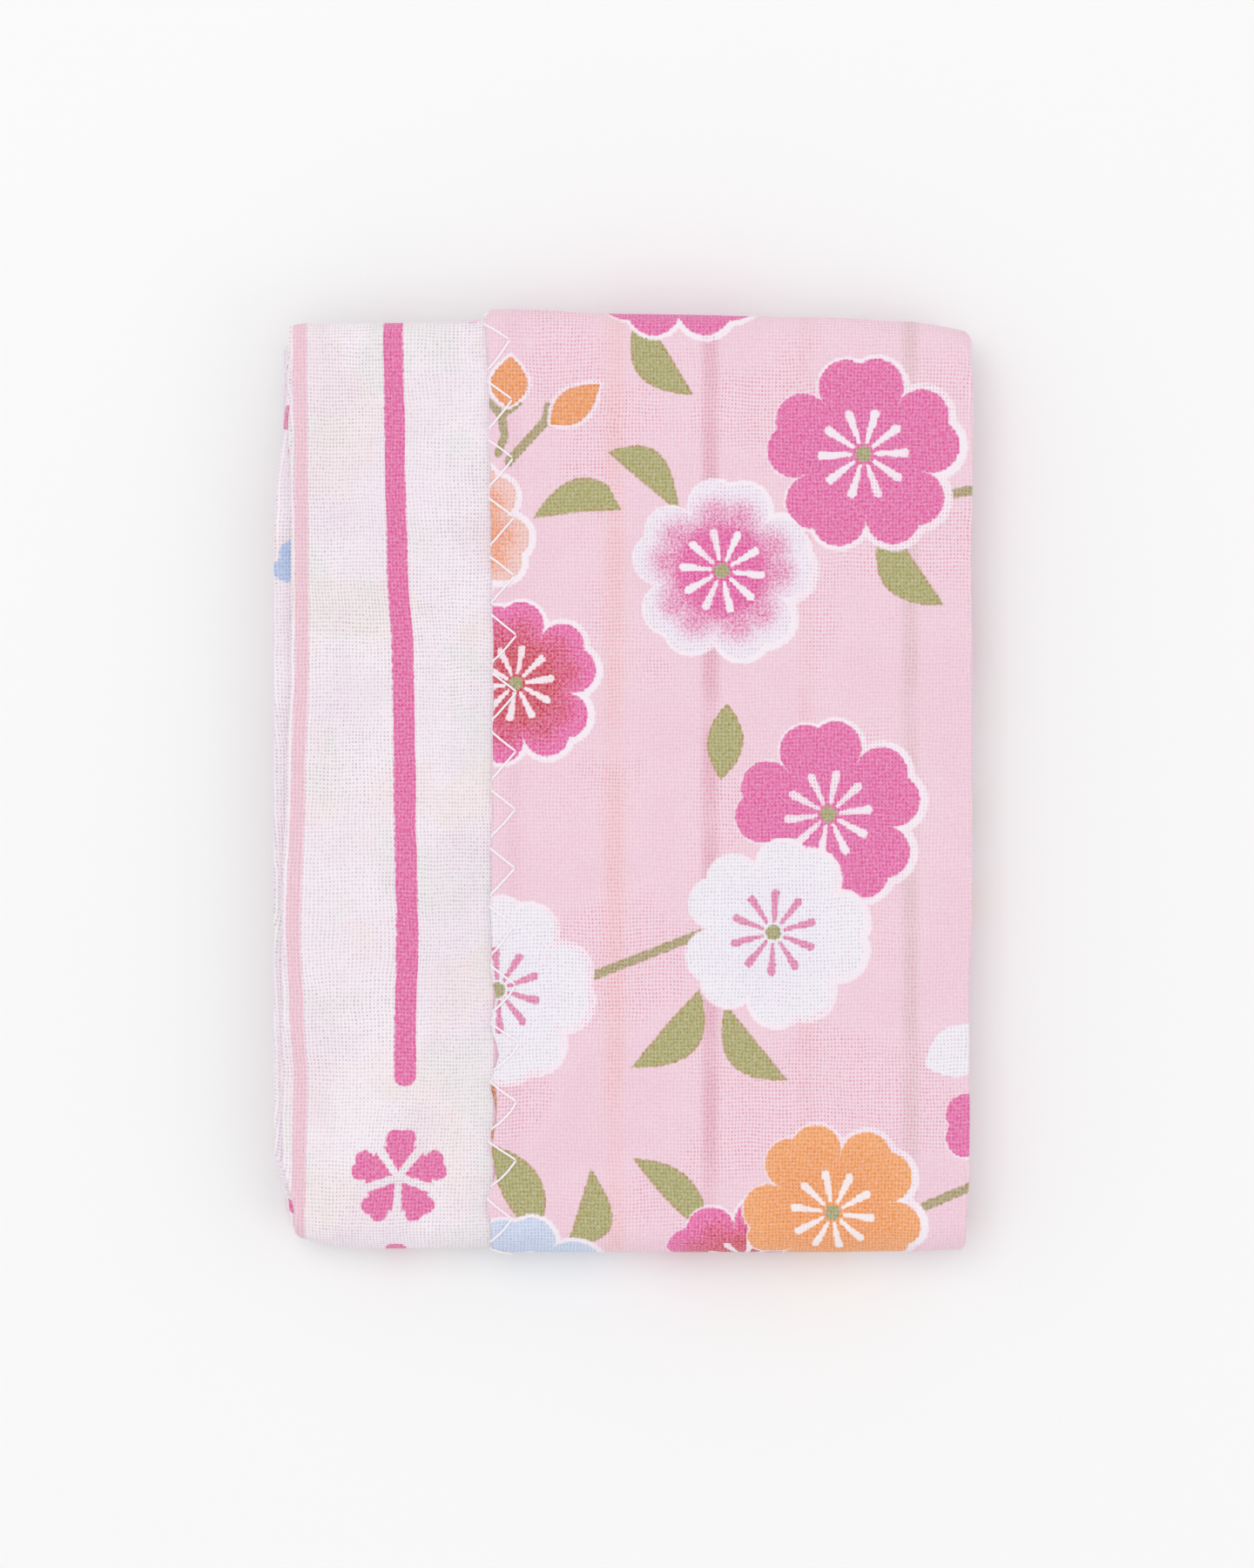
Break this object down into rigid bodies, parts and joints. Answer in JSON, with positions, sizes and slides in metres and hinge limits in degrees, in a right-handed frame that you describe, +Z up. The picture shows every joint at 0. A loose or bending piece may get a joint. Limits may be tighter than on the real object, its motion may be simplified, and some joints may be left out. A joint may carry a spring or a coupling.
{
  "type": "folded handkerchief",
  "caption": "Square gauze handkerchief with blossom and stripe prints, folded across and then lengthwise into a flat stack, with its stitched hem along the top flap.",
  "frame": {"origin": "centre of the stack's footprint, on the surface it lies on", "axes": "+Z up through the folded layers, +Y along the stack's long side to its upper edge, +X to the right, where the flap's fold is"},
  "size_m": [0.0842, 0.1136, 0.0087],
  "materials": {
    "cloth": "soft triple gauze with an open weave, a blossom print on pink on one side and stripes on white on the other"
  },
  "bodies": {
    "root": {"cloth": "cloth"}
  },
  "joints": []
}
